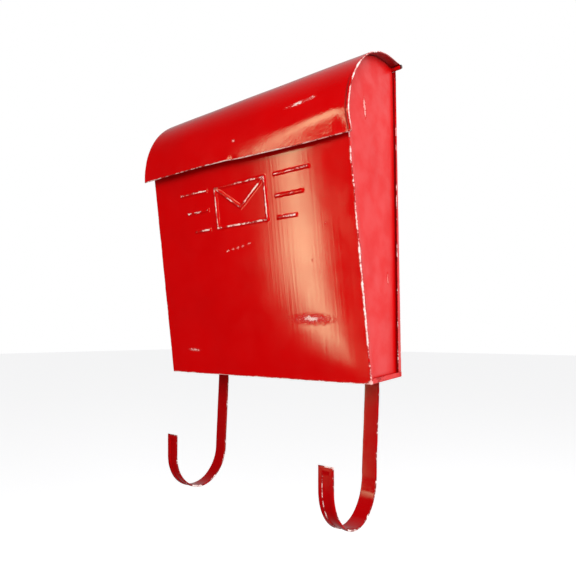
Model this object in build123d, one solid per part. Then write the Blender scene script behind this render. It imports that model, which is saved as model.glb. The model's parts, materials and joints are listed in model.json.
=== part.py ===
from build123d import *
import math
import os

# Wall-hung sheet-metal mailbox: a tapered box that is deeper at the top, a
# quarter-round lid hinged on a wire pin at the top of the back, and two
# J-shaped newspaper hooks riveted under the bottom.
# Working axes: +X to the right seen from the front, -Y towards the user,
# +Z up. While modelling, z = 0 is the front bottom edge of the box and y = 0
# is the wall. Everything is shifted down by ORIGIN_Z at the end, so that the
# row's origin is the centre of the four wall-screw holes on the back face.

# ---- driving dimensions (mm) ----
W = 280.0            # body width over the rims
T = 0.8              # sheet thickness
D_BOTTOM = 61.7      # body depth at the bottom
FRONT_SLOPE = 0.1537 # the front leans out by this much per mm of height
H_FRONT = 250.0      # height of the front panel's hemmed top edge
BOTTOM_RISE = 3.6    # the bottom rises by this much towards the wall
RECESS = 3.5         # side panels sit this far inside the rim
RIM_FRONT = 3.0      # visible rim widths beside the recessed side panels
RIM_BOTTOM = 5.0
RIM_BACK = 6.5
LID_W = 293.0        # lid width over its hemmed sides
LID_R = 90.0         # outer radius of the quarter-round lid
LID_C = (-18.0, 240.0)   # centre of that radius, y and z
LID_DROP_DEG = 8.0   # the lid's front skirt goes this far past horizontal
LID_HEM = 5.0        # folded hem width along the lid's edges
LID_GAP = 0.45       # lid to side-panel clearance when closed
PIN_R = 1.5          # hinge pin radius
KNUCKLE_R = 2.4      # outer radius of the rolled knuckles
PIN_CLEAR = 0.05     # radial clearance in the lid's knuckles
KNUCKLE_GAP = 0.4    # end gap between neighbouring knuckles
KNUCKLE_X = (29.8, 88.0) # joints between knuckles, either side of the middle
HOOK_X = 108.6       # hook centre from the middle of the box
HOOK_W = 17.0        # hook strip width
HOOK_T = 1.0         # hook strip thickness, one layer
HOOK_HEM = 4.6       # folded hem along each edge of the hook strip
HOOK_R = 38.5        # mid-line radius of the hook's bend
HOOK_LEAN_DEG = 3.6  # the hook's shank leans in towards the wall
HOOK_C = (-49.3, -97.5)  # centre of the bend, y and z
HOOK_TIP_Z = -71.0   # top of the hook's front arm
FOOT_L = 27.0        # hook foot under the bottom
RIVET_R = 2.0
RIVET_HEAD_R = 3.8
HOLE_R = 2.75        # wall-screw holes
HOLES_DX = 200.0
HOLES_DZ = 220.0
ORIGIN_Z = 170.0     # centre of the four wall-screw holes above the bottom
BEAD = 1.2           # height of the embossed emblem's beads
BEAD_W = 5.0

os.makedirs("parts", exist_ok=True)
HALF = W / 2
PIN_Y = -KNUCKLE_R
PIN_Z = LID_C[1] + LID_R - KNUCKLE_R
slope = math.atan(FRONT_SLOPE)
rise = math.atan(BOTTOM_RISE / D_BOTTOM)


def poly(pts):
    """A closed polygon face in the Y-Z plane at x = 0."""
    return make_face(Polyline(*[(0, p[0], p[1]) for p in pts], close=True))


def slab(face, x0, x1):
    """Extrude a Y-Z face from x0 to x1."""
    return extrude(face.moved(Location((x0, 0, 0))), amount=x1 - x0, dir=(1, 0, 0))


def rod(r, x0, x1, y, z):
    """A cylinder along X."""
    return Pos((x0 + x1) / 2, y, z) * Rot(0, 90, 0) * Cylinder(r, x1 - x0)


def front_y(z, inset=0.0):
    """y of the front panel's outer face at height z, or of a parallel line inside it."""
    return -D_BOTTOM - FRONT_SLOPE * z + inset / math.cos(slope)


def floor_z(y, up=0.0):
    """z of the bottom panel's underside at y, or of a parallel line above it."""
    return BOTTOM_RISE * (y + D_BOTTOM) / D_BOTTOM + up / math.cos(rise)


def corner(front_in, floor_up):
    """Where a line inside the front meets a line above the bottom."""
    y = -D_BOTTOM
    for _ in range(30):
        y = front_y(floor_z(y, floor_up), front_in)
    return (y, floor_z(y, floor_up))


def save(shape, name):
    solids = shape.solids()
    out = solids[0] if len(solids) == 1 else Compound(children=list(solids))
    out = out.moved(Location((0, 0, -ORIGIN_Z)))
    export_step(out, os.path.join("parts", name + ".step"))


# ---- front panel: sloped sheet, hemmed top, side returns, embossed emblem ----
front_sheet = slab(poly([(front_y(0), 0), (front_y(0, T), 0), (front_y(H_FRONT, T), H_FRONT), (front_y(H_FRONT), H_FRONT)]), -HALF, HALF)
hem_in = HALF - RECESS - T - 0.2
front_hem = slab(poly([(front_y(H_FRONT - 8, T), H_FRONT - 8), (front_y(H_FRONT - 8, 2 * T), H_FRONT - 8), (front_y(H_FRONT, 2 * T), H_FRONT), (front_y(H_FRONT, T), H_FRONT)]), -hem_in, hem_in)
front_return_face = poly([(front_y(0), 0), (front_y(0, RIM_FRONT), 0), (front_y(H_FRONT, RIM_FRONT), H_FRONT), (front_y(H_FRONT), H_FRONT)])
front_panel = front_sheet + front_hem
for sx in (-1, 1):
    x0, x1 = sorted((sx * (HALF - T), sx * HALF))
    front_panel += slab(front_return_face, x0, x1)

# The emblem is an envelope between two groups of lines, in raised beads.
emblem_z = 186.0
face_plane = Plane(origin=(0, front_y(emblem_z), emblem_z), x_dir=(1, 0, 0), z_dir=(0, -math.cos(slope), -math.sin(slope)))


def bead(x0, v0, x1, v1):
    length = math.hypot(x1 - x0, v1 - v0)
    ang = math.degrees(math.atan2(v1 - v0, x1 - x0))
    flat = Location(((x0 + x1) / 2, (v0 + v1) / 2, BEAD / 2 - 0.2), (0, 0, ang))
    body = extrude(SlotOverall(length + BEAD_W, BEAD_W), amount=BEAD + 0.4)
    return face_plane.location * flat * Pos(0, 0, -(BEAD + 0.4) / 2) * body


EW, EH = 72.0, 44.0
beads = [(-EW / 2, -EH / 2, EW / 2, -EH / 2), (-EW / 2, EH / 2, EW / 2, EH / 2), (-EW / 2, -EH / 2, -EW / 2, EH / 2), (EW / 2, -EH / 2, EW / 2, EH / 2),
         (-EW / 2, EH / 2, 0, -4), (EW / 2, EH / 2, 0, -4)]
for sx in (-1, 1):
    for v, reach in ((EH / 2, 92), (0, 82), (-EH / 2, 72)):
        beads.append((sx * 50, v, sx * reach, v))
for b in beads:
    front_panel += bead(*b)

# ---- bottom panel: slopes up to the wall, with rim strips at both sides ----
y_in = front_y(0, T)
c0 = corner(T, 0)
c1 = corner(T, T)
bottom_panel = slab(poly([c0, c1, (0, floor_z(0, T)), (0, floor_z(0))]), -HALF, HALF)
bottom_rim_face = poly([corner(RIM_FRONT, 0), corner(RIM_FRONT, RIM_BOTTOM), (-RIM_BACK, floor_z(-RIM_BACK, RIM_BOTTOM)), (0, floor_z(0, RIM_BOTTOM)), (0, floor_z(0))])
for sx in (-1, 1):
    x0, x1 = sorted((sx * (HALF - T), sx * HALF))
    bottom_panel += slab(bottom_rim_face, x0, x1)

# ---- side panels: flat plates recessed behind an outward flange ----
# The plate's top follows the inside of the lid.
inner_r = LID_R - T - LID_GAP
lid_cy, lid_cz = LID_C
z_meet = H_FRONT
for _ in range(60):
    y_arc = front_y(z_meet, T)
    z_meet = lid_cz + math.sqrt(max(inner_r ** 2 - (y_arc - lid_cy) ** 2, 0))
meet = (front_y(z_meet, T), z_meet)
mid_ang = (math.atan2(meet[1] - lid_cz, meet[0] - lid_cy) + math.pi / 2) / 2
arc_mid = (lid_cy + inner_r * math.cos(mid_ang), lid_cz + inner_r * math.sin(mid_ang))
top_z = lid_cz + inner_r
rear_y = -6.5
rear_z = 322.0


def side_outline(inset):
    """Side panel outline, inset from the inner faces of front, bottom and back."""
    a = corner(T + inset, T + inset)
    b = (-T - inset, floor_z(-T - inset, T + inset))
    pts = [Line((0, a[0], a[1]), (0, b[0], b[1])),
           Line((0, b[0], b[1]), (0, -T - inset, rear_z)),
           Line((0, -T - inset, rear_z), (0, rear_y, rear_z)),
           Line((0, rear_y, rear_z), (0, rear_y, top_z)),
           Line((0, rear_y, top_z), (0, lid_cy, top_z)),
           ThreePointArc((0, lid_cy, top_z), (0, arc_mid[0], arc_mid[1]), (0, meet[0], meet[1])),
           Line((0, meet[0], meet[1]), (0, a[0], a[1]))]
    return make_face(pts)


plate_face = side_outline(0.0)
flange_outer = poly([corner(T, T), (-T, floor_z(-T, T)), (-T, 320), (front_y(H_FRONT, T), 320), (front_y(H_FRONT, T), H_FRONT)])
flange_keep = poly([corner(T, T), (-T, floor_z(-T, T)), (-T, 316), (-40, 316), (-40, H_FRONT), (front_y(H_FRONT, T), H_FRONT)])
flange_hole = poly([corner(2 * T, 2 * T), (-2 * T, floor_z(-2 * T, 2 * T)), (-2 * T, 330), (-40, 330), (-40, H_FRONT + 20), (front_y(H_FRONT + 20, 2 * T), H_FRONT + 20)])


def side_panel(sx):
    x_plate = sorted((sx * (HALF - RECESS - T), sx * (HALF - RECESS)))
    x_flange = sorted((sx * (HALF - RECESS), sx * (HALF - T)))
    x_cut = sorted((sx * (HALF - RECESS - 1), sx * (HALF + 1)))
    ring = slab(flange_keep, *x_flange) - slab(flange_hole, *x_cut)
    return slab(plate_face, *x_plate) + ring


left_side_panel = side_panel(-1)
right_side_panel = side_panel(1)

# ---- back panel: flat sheet, rim strips, rolled hinge knuckles, screw holes ----
back_panel = slab(poly([(-T, floor_z(-T, T)), (0, floor_z(0, T)), (0, PIN_Z - KNUCKLE_R - 0.5), (-T, PIN_Z - KNUCKLE_R - 0.5)]), -HALF, HALF)
back_rim_face = poly([(-RIM_BACK, floor_z(-RIM_BACK, RIM_BOTTOM)), (0, floor_z(0, RIM_BOTTOM)), (0, 320), (-T, 320)])
for sx in (-1, 1):
    x0, x1 = sorted((sx * (HALF - T), sx * HALF))
    back_panel += slab(back_rim_face, x0, x1)
    k0, k1 = sorted((sx * (KNUCKLE_X[0] + KNUCKLE_GAP / 2), sx * (KNUCKLE_X[1] - KNUCKLE_GAP / 2)))
    web = slab(poly([(-T, PIN_Z - KNUCKLE_R - 0.6), (0, PIN_Z - KNUCKLE_R - 0.6), (0, PIN_Z), (-T, PIN_Z)]), k0, k1)
    knuckle = rod(KNUCKLE_R, k0, k1, PIN_Y, PIN_Z) + web
    back_panel += knuckle - rod(PIN_R, k0 - 1, k1 + 1, PIN_Y, PIN_Z)
for sx in (-1, 1):
    for sz in (-1, 1):
        back_panel -= Pos(sx * HOLES_DX / 2, 0, ORIGIN_Z + sz * HOLES_DZ / 2) * Rot(90, 0, 0) * Cylinder(HOLE_R, 10)

# ---- lid: quarter-round sheet with hemmed edges and rolled knuckles ----


def arc_band(r_out, r_in, a0, a1):
    """A band between two radii about the lid's centre, angles in degrees from -Y towards +Z."""
    def at(r, a):
        return (0, lid_cy - r * math.cos(math.radians(a)), lid_cz + r * math.sin(math.radians(a)))
    am = (a0 + a1) / 2
    return make_face([ThreePointArc(at(r_out, a0), at(r_out, am), at(r_out, a1)), Line(at(r_out, a1), at(r_in, a1)),
                      ThreePointArc(at(r_in, a1), at(r_in, am), at(r_in, a0)), Line(at(r_in, a0), at(r_out, a0))])


LH = LID_W / 2
lid_top = lid_cz + LID_R
lid = slab(arc_band(LID_R, LID_R - T, -LID_DROP_DEG, 90), -LH, LH)
lid += slab(poly([(lid_cy, lid_top - T), (-7.0, lid_top - T), (-7.0, lid_top), (lid_cy, lid_top)]), -LH, LH)
hem_deg = math.degrees((LID_HEM + 1.0) / LID_R)
lid += slab(arc_band(LID_R - T, LID_R - 2 * T, -LID_DROP_DEG, -LID_DROP_DEG + hem_deg), -LH, LH)
for sx in (-1, 1):
    x0, x1 = sorted((sx * (LH - LID_HEM), sx * LH))
    lid += slab(arc_band(LID_R - T, LID_R - 2 * T, -LID_DROP_DEG, 90), x0, x1)
    lid += slab(poly([(lid_cy, lid_top - 2 * T), (-9.0, lid_top - 2 * T), (-9.0, lid_top - T), (lid_cy, lid_top - T)]), x0, x1)
for k0, k1 in ((-LH, -KNUCKLE_X[1] - KNUCKLE_GAP / 2), (-KNUCKLE_X[0] + KNUCKLE_GAP / 2, KNUCKLE_X[0] - KNUCKLE_GAP / 2), (KNUCKLE_X[1] + KNUCKLE_GAP / 2, LH)):
    web = slab(poly([(-7.5, lid_top - T), (PIN_Y, lid_top - T), (PIN_Y, lid_top), (-7.5, lid_top)]), k0, k1)
    knuckle = rod(KNUCKLE_R, k0, k1, PIN_Y, PIN_Z) + web
    lid += knuckle - rod(PIN_R + PIN_CLEAR, k0 - 1, k1 + 1, PIN_Y, PIN_Z)

# ---- hinge pin: straight wire with upset ends ----
hinge_pin = rod(PIN_R, -LH - 0.4, LH + 0.4, PIN_Y, PIN_Z)
for sx in (-1, 1):
    h0, h1 = sorted((sx * (LH + 0.35), sx * (LH + 1.4)))
    hinge_pin += rod(2.1, h0, h1, PIN_Y, PIN_Z)

# ---- newspaper hooks: hemmed strips bent to a J, with a foot under the bottom ----
lean = math.radians(HOOK_LEAN_DEG)
hook_cy, hook_cz = HOOK_C


def hook_profile(t_in, t_out):
    """Y-Z face of the hook between offsets inside and outside its mid-line."""
    def on(r, a):
        return (0, hook_cy + r * math.cos(a), hook_cz + r * math.sin(a))
    ri, ro = HOOK_R - t_in, HOOK_R + t_out
    def shank_top(r):
        # the shank's face runs up from the bend's end until it meets the bottom
        p = on(r, -lean)
        s = (floor_z(p[1]) - p[2])
        for _ in range(20):
            y = p[1] + s * math.sin(lean)
            z = p[2] + s * math.cos(lean)
            s += (floor_z(y) - z)
        return (0, p[1] + s * math.sin(lean), p[2] + s * math.cos(lean))
    i_top, o_top = shank_top(ri), shank_top(ro)
    i0, o0 = on(ri, -lean), on(ro, -lean)
    i1, o1 = on(ri, -math.pi), on(ro, -math.pi)
    am = (-lean - math.pi) / 2
    return make_face([Line(i_top, i0), ThreePointArc(i0, on(ri, am), i1), Line(i1, (0, i1[1], HOOK_TIP_Z)),
                      Line((0, i1[1], HOOK_TIP_Z), (0, o1[1], HOOK_TIP_Z)), Line((0, o1[1], HOOK_TIP_Z), o1),
                      ThreePointArc(o1, on(ro, am), o0), Line(o0, o_top), Line(o_top, i_top)]), i_top, o_top


def hook(cx):
    h = HOOK_T / 2
    core, i_top, o_top = hook_profile(h, h)
    hem, _, _ = hook_profile(-h, h + HOOK_T)
    body = slab(core, cx - HOOK_W / 2, cx + HOOK_W / 2)
    cut_z = -10.0
    for sx in (-1, 1):
        x0, x1 = sorted((cx + sx * (HOOK_W / 2 - HOOK_HEM), cx + sx * HOOK_W / 2))
        edge = slab(hem, x0, x1)
        edge -= Pos(cx, 0, 50 + cut_z) * Box(60, 400, 100)
        body += edge
    tip = slab(hem, cx - HOOK_W / 2, cx + HOOK_W / 2)
    tip &= Pos(cx, hook_cy - HOOK_R, HOOK_TIP_Z - HOOK_HEM / 2) * Box(60, 20, HOOK_HEM)
    body += tip
    y1 = i_top[1] - FOOT_L
    foot = slab(poly([(o_top[1], floor_z(o_top[1])), (y1, floor_z(y1)), (y1, floor_z(y1, -HOOK_T)), (o_top[1], floor_z(o_top[1], -HOOK_T))]), cx - HOOK_W / 2, cx + HOOK_W / 2)
    return body + foot, i_top[1]


def rivet(cx, y):
    """A domed rivet through the bottom and the hook's foot."""
    zb = floor_z(y)
    grip = T + HOOK_T
    shank = Pos(0, 0, (T - HOOK_T) / 2) * Cylinder(RIVET_R, grip + 0.4)
    dome = Sphere(5.2) & Pos(0, 0, 5.0) * Box(20, 20, 3.0)
    dome = dome.moved(Location((0, 0, -3.5)))
    upper = dome.moved(Location((0, 0, T)))
    lower = dome.moved(Location((0, 0, 0), (180, 0, 0))).moved(Location((0, 0, -HOOK_T)))
    r = shank + upper + lower
    return r.moved(Location((cx, y, zb), (math.degrees(rise), 0, 0)))


bottom_panel = bottom_panel - front_panel - back_panel
hooks, rivets = {}, {}
for name, cx in (("left", -HOOK_X), ("right", HOOK_X)):
    body, y_shank = hook(cx)
    group = []
    for dy in (10.0, 20.5):
        y = y_shank - dy
        hole = Cylinder(RIVET_R, 8).moved(Location((cx, y, floor_z(y)), (math.degrees(rise), 0, 0)))
        body -= hole
        bottom_panel -= hole
        group.append(rivet(cx, y))
    hooks[name] = body
    rivets[name] = Compound(children=[s for r in group for s in r.solids()])

save(front_panel, "front_panel")
save(bottom_panel, "bottom_panel")
save(left_side_panel, "left_side_panel")
save(right_side_panel, "right_side_panel")
save(back_panel, "back_panel")
save(lid, "lid")
save(hinge_pin, "hinge_pin")
save(hooks["left"], "left_newspaper_hook")
save(hooks["right"], "right_newspaper_hook")
save(rivets["left"], "left_hook_rivets")
save(rivets["right"], "right_hook_rivets")
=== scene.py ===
import json
import math
import bmesh
import bpy
import numpy as np
from mathutils import Matrix, Vector

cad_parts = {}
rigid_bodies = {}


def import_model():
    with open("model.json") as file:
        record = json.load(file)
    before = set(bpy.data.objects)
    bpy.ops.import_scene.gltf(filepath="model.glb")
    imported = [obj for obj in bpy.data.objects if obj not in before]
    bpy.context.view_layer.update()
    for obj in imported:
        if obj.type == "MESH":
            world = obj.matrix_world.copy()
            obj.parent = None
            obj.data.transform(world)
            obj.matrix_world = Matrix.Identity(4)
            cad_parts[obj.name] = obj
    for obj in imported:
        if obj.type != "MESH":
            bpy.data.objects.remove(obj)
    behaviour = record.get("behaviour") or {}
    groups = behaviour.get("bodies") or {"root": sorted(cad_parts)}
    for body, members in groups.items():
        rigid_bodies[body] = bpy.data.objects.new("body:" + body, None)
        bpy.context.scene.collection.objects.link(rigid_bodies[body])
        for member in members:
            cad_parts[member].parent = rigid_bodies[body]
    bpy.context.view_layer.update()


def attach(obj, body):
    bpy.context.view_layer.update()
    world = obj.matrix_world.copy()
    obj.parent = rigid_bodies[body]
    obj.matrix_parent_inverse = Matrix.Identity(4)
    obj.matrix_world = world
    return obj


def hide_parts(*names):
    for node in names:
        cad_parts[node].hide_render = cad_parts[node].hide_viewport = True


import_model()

scene = bpy.context.scene

# ---------------------------------------------------------------- dimensions
# Working millimetres: z = 0 is the front bottom edge of the box, y = 0 the wall.
Z0 = 170.0
HALF, T = 140.0, 0.8
D_BOTTOM, SLOPE, H_FRONT, RISE = 61.7, 0.1537, 250.0, 3.6
RECESS, RIM_F, RIM_B, RIM_K = 3.5, 3.0, 5.0, 6.5
LID_H, LID_R, LID_CY, LID_CZ, LID_DROP = 146.5, 90.0, -18.0, 240.0, 8.0
PIN_Y, PIN_Z, PIN_R, KN_R = -2.4, 327.6, 1.5, 2.4
KN_X, KN_GAP = (29.8, 88.0), 0.4
HOOK_X, HOOK_W = 108.6, 17.0
A = math.atan(SLOPE)
BEV = math.atan(RISE / D_BOTTOM)


def front_y(z, inset=0.0):
    return -D_BOTTOM - SLOPE * z + inset / math.cos(A)


def floor_z(y, up=0.0):
    return RISE * (y + D_BOTTOM) / D_BOTTOM + up / math.cos(BEV)


def smooth(x, a, b):
    t = np.clip((np.asarray(x, float) - a) / (b - a), 0, 1)
    return t * t * (3 - 2 * t)


def bump(x, w):
    """Smooth bell of half-width w round 0."""
    return np.exp(-(np.asarray(x, float) / w) ** 2)


def waves(u, v, seed, scale, octaves=3):
    """Smooth hand-beaten unevenness between about -1 and 1."""
    rng = np.random.RandomState(seed)
    u, v = np.asarray(u, float), np.asarray(v, float)
    out = np.zeros(np.broadcast(u, v).shape)
    amp, tot = 1.0, 0.0
    for _ in range(octaves):
        for _ in range(4):
            ang = rng.uniform(0, 2 * math.pi)
            k = 2 * math.pi / (scale * rng.uniform(0.7, 1.4))
            out += amp * np.sin(k * (u * math.cos(ang) + v * math.sin(ang)) + rng.uniform(0, 2 * math.pi))
        tot += amp * 2.0
        amp *= 0.5
        scale *= 0.5
    return out / tot


# ---------------------------------------------------------------- mesh helpers
def link(obj):
    scene.collection.objects.link(obj)
    return obj


def finish_mesh(mesh, sharp_deg=38.0):
    bm = bmesh.new()
    bm.from_mesh(mesh)
    bmesh.ops.remove_doubles(bm, verts=bm.verts, dist=2e-7)
    bmesh.ops.dissolve_degenerate(bm, dist=1e-7, edges=bm.edges)
    bmesh.ops.recalc_face_normals(bm, faces=bm.faces)
    lim = math.radians(sharp_deg)
    for e in bm.edges:
        e.smooth = not (len(e.link_faces) == 2 and e.calc_face_angle(0.0) > lim)
    for f in bm.faces:
        f.smooth = True
    bm.to_mesh(mesh)
    bm.free()
    mesh.update()


def mesh_object(name, parts, mats, sharp_deg=38.0):
    """parts: list of (verts in mm, faces, edge attribute, material index)."""
    vs, fs, at, mi, n = [], [], [], [], 0
    for verts, faces, edge, mat in parts:
        verts = np.asarray(verts, float)
        vs.append(verts)
        at.append(np.broadcast_to(np.asarray(edge, float), (len(verts),)))
        for k, f in enumerate(faces):
            fs.append(tuple(int(i) + n for i in f))
            mi.append(mat if isinstance(mat, int) else mat[k])
        n += len(verts)
    vs = np.concatenate(vs)
    at = np.concatenate(at)
    pts = vs.copy()
    pts[:, 2] -= Z0
    pts *= 0.001
    mesh = bpy.data.meshes.new(name)
    mesh.from_pydata(pts.tolist(), [], fs)
    mesh.update()
    mesh.polygons.foreach_set("material_index", np.array(mi, dtype=np.int32))
    a = mesh.attributes.new("edge", "FLOAT", "POINT")
    a.data.foreach_set("value", at.astype(np.float32))
    for m in mats:
        mesh.materials.append(m)
    finish_mesh(mesh, sharp_deg)
    return link(bpy.data.objects.new(name, mesh))


def shell(P_out, P_in, edge, mask=None):
    """A closed thick sheet from two matching grids. mask marks the cells kept.
    Returns (verts, faces, edge attribute, 1 for each face of the inner side)."""
    n, m = P_out.shape[:2]
    if mask is None:
        mask = np.ones((n - 1, m - 1), bool)
    out_id = np.arange(n * m).reshape(n, m)
    in_id = out_id + n * m
    same = np.linalg.norm(P_out - P_in, axis=2) < 1e-6
    in_id = np.where(same, out_id, in_id)
    verts = np.concatenate([P_out.reshape(-1, 3), P_in.reshape(-1, 3)])
    e = np.broadcast_to(edge, (n, m)).reshape(-1)
    e = np.concatenate([e, e])
    faces, inner = [], []

    def quad(a, b, c, d, side=0):
        f = []
        for i in (a, b, c, d):
            if i not in f:
                f.append(i)
        if len(f) > 2:
            faces.append(tuple(f))
            inner.append(side)
    for i in range(n - 1):
        for j in range(m - 1):
            if not mask[i, j]:
                continue
            quad(out_id[i, j], out_id[i + 1, j], out_id[i + 1, j + 1], out_id[i, j + 1])
            quad(in_id[i, j], in_id[i, j + 1], in_id[i + 1, j + 1], in_id[i + 1, j], 1)
            if i == 0 or not mask[i - 1, j]:
                quad(out_id[i, j], out_id[i, j + 1], in_id[i, j + 1], in_id[i, j])
            if i == n - 2 or not mask[i + 1, j]:
                quad(out_id[i + 1, j], in_id[i + 1, j], in_id[i + 1, j + 1], out_id[i + 1, j + 1])
            if j == 0 or not mask[i, j - 1]:
                quad(out_id[i, j], in_id[i, j], in_id[i + 1, j], out_id[i + 1, j])
            if j == m - 2 or not mask[i, j + 1]:
                quad(out_id[i, j + 1], out_id[i + 1, j + 1], in_id[i + 1, j + 1], in_id[i, j + 1])
    used = np.zeros(len(verts), bool)
    for f in faces:
        used[list(f)] = True
    remap = np.cumsum(used) - 1
    faces = [tuple(int(remap[i]) for i in f) for f in faces]
    return verts[used], faces, e[used], inner


def lathe(profile, n, frame_at):
    """Closed solid of revolution. profile: (along, radius); frame_at maps (along, rx, ry) to a point."""
    verts, faces = [], []
    prof = [p for p in profile]
    first = len(verts)
    verts.append(frame_at(prof[0][0], 0, 0))
    rings = []
    for s, r in prof:
        ring = []
        for k in range(n):
            a = 2 * math.pi * k / n
            ring.append(len(verts))
            verts.append(frame_at(s, r * math.cos(a), r * math.sin(a)))
        rings.append(ring)
    last = len(verts)
    verts.append(frame_at(prof[-1][0], 0, 0))
    for k in range(n):
        k2 = (k + 1) % n
        faces.append((first, rings[0][k2], rings[0][k]))
        for a, b in zip(rings[:-1], rings[1:]):
            faces.append((a[k], a[k2], b[k2], b[k]))
        faces.append((last, rings[-1][k], rings[-1][k2]))
    return verts, faces


def joined(*arrays):
    """Sorted unique grid lines, at least 0.02 mm apart."""
    a = np.unique(np.round(np.concatenate([np.atleast_1d(np.asarray(x, float)) for x in arrays]), 4))
    keep = [a[0]]
    for x in a[1:]:
        if x - keep[-1] > 0.02:
            keep.append(x)
    return np.array(keep)


def fold(b, r):
    """How far a rounded fold of radius r falls away at distance b from the edge."""
    b = np.clip(b, 0, r)
    return r - np.sqrt(np.maximum(r * r - (r - b) ** 2, 0))


# ---------------------------------------------------------------- materials
def new_mat(name):
    m = bpy.data.materials.new(name)
    m.use_nodes = True
    nt = m.node_tree
    nt.nodes.clear()
    return m, nt


class Nodes:
    def __init__(self, nt):
        self.nt = nt
        self.x = 0

    def add(self, kind, **kw):
        n = self.nt.nodes.new(kind)
        n.location = (self.x, 0)
        self.x += 40
        for k, v in kw.items():
            setattr(n, k, v)
        return n

    def put(self, sock, v):
        if isinstance(v, bpy.types.NodeSocket):
            self.nt.links.new(v, sock)
        else:
            sock.default_value = v

    def math(self, op, a, b=0.0, clamp=False):
        n = self.add("ShaderNodeMath", operation=op, use_clamp=clamp)
        self.put(n.inputs[0], a)
        self.put(n.inputs[1], b)
        return n.outputs[0]

    def ramp(self, v, a, b, c=0.0, d=1.0):
        n = self.add("ShaderNodeMapRange", interpolation_type="SMOOTHSTEP")
        self.put(n.inputs["Value"], v)
        n.inputs["From Min"].default_value = a
        n.inputs["From Max"].default_value = b
        n.inputs["To Min"].default_value = c
        n.inputs["To Max"].default_value = d
        return n.outputs["Result"]

    def noise(self, vec, scale, detail=3.0, rough=0.5, stretch=None, offset=None):
        if stretch is not None or offset is not None:
            mp = self.add("ShaderNodeMapping")
            self.put(mp.inputs["Vector"], vec)
            mp.inputs["Scale"].default_value = stretch or (1, 1, 1)
            mp.inputs["Location"].default_value = offset or (0, 0, 0)
            vec = mp.outputs[0]
        n = self.add("ShaderNodeTexNoise")
        self.put(n.inputs["Vector"], vec)
        n.inputs["Scale"].default_value = scale
        n.inputs["Detail"].default_value = detail
        n.inputs["Roughness"].default_value = rough
        return n.outputs["Fac"]

    def mix(self, fac, a, b):
        n = self.add("ShaderNodeMix", data_type="RGBA")
        self.put(n.inputs["Factor"], fac)
        self.put(n.inputs["A"], a)
        self.put(n.inputs["B"], b)
        return n.outputs["Result"]

    def mixf(self, fac, a, b):
        n = self.add("ShaderNodeMix", data_type="FLOAT")
        self.put(n.inputs[0], fac)
        self.put(n.inputs[2], a)
        self.put(n.inputs[3], b)
        return n.outputs[0]

    def spot(self, vec, centre, size, turn=(0, 0, 0)):
        """1 at the centre of an ellipsoid and 0 at its edge, in metres."""
        mp = self.add("ShaderNodeMapping", vector_type="TEXTURE")
        self.put(mp.inputs["Vector"], vec)
        mp.inputs["Location"].default_value = centre
        mp.inputs["Rotation"].default_value = turn
        mp.inputs["Scale"].default_value = size
        ln = self.add("ShaderNodeVectorMath", operation="LENGTH")
        self.put(ln.inputs[0], mp.outputs[0])
        return self.math("SUBTRACT", 1.0, ln.outputs["Value"], clamp=True)


def mm(x, y, z):
    return (x / 1000, y / 1000, (z - Z0) / 1000)


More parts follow.
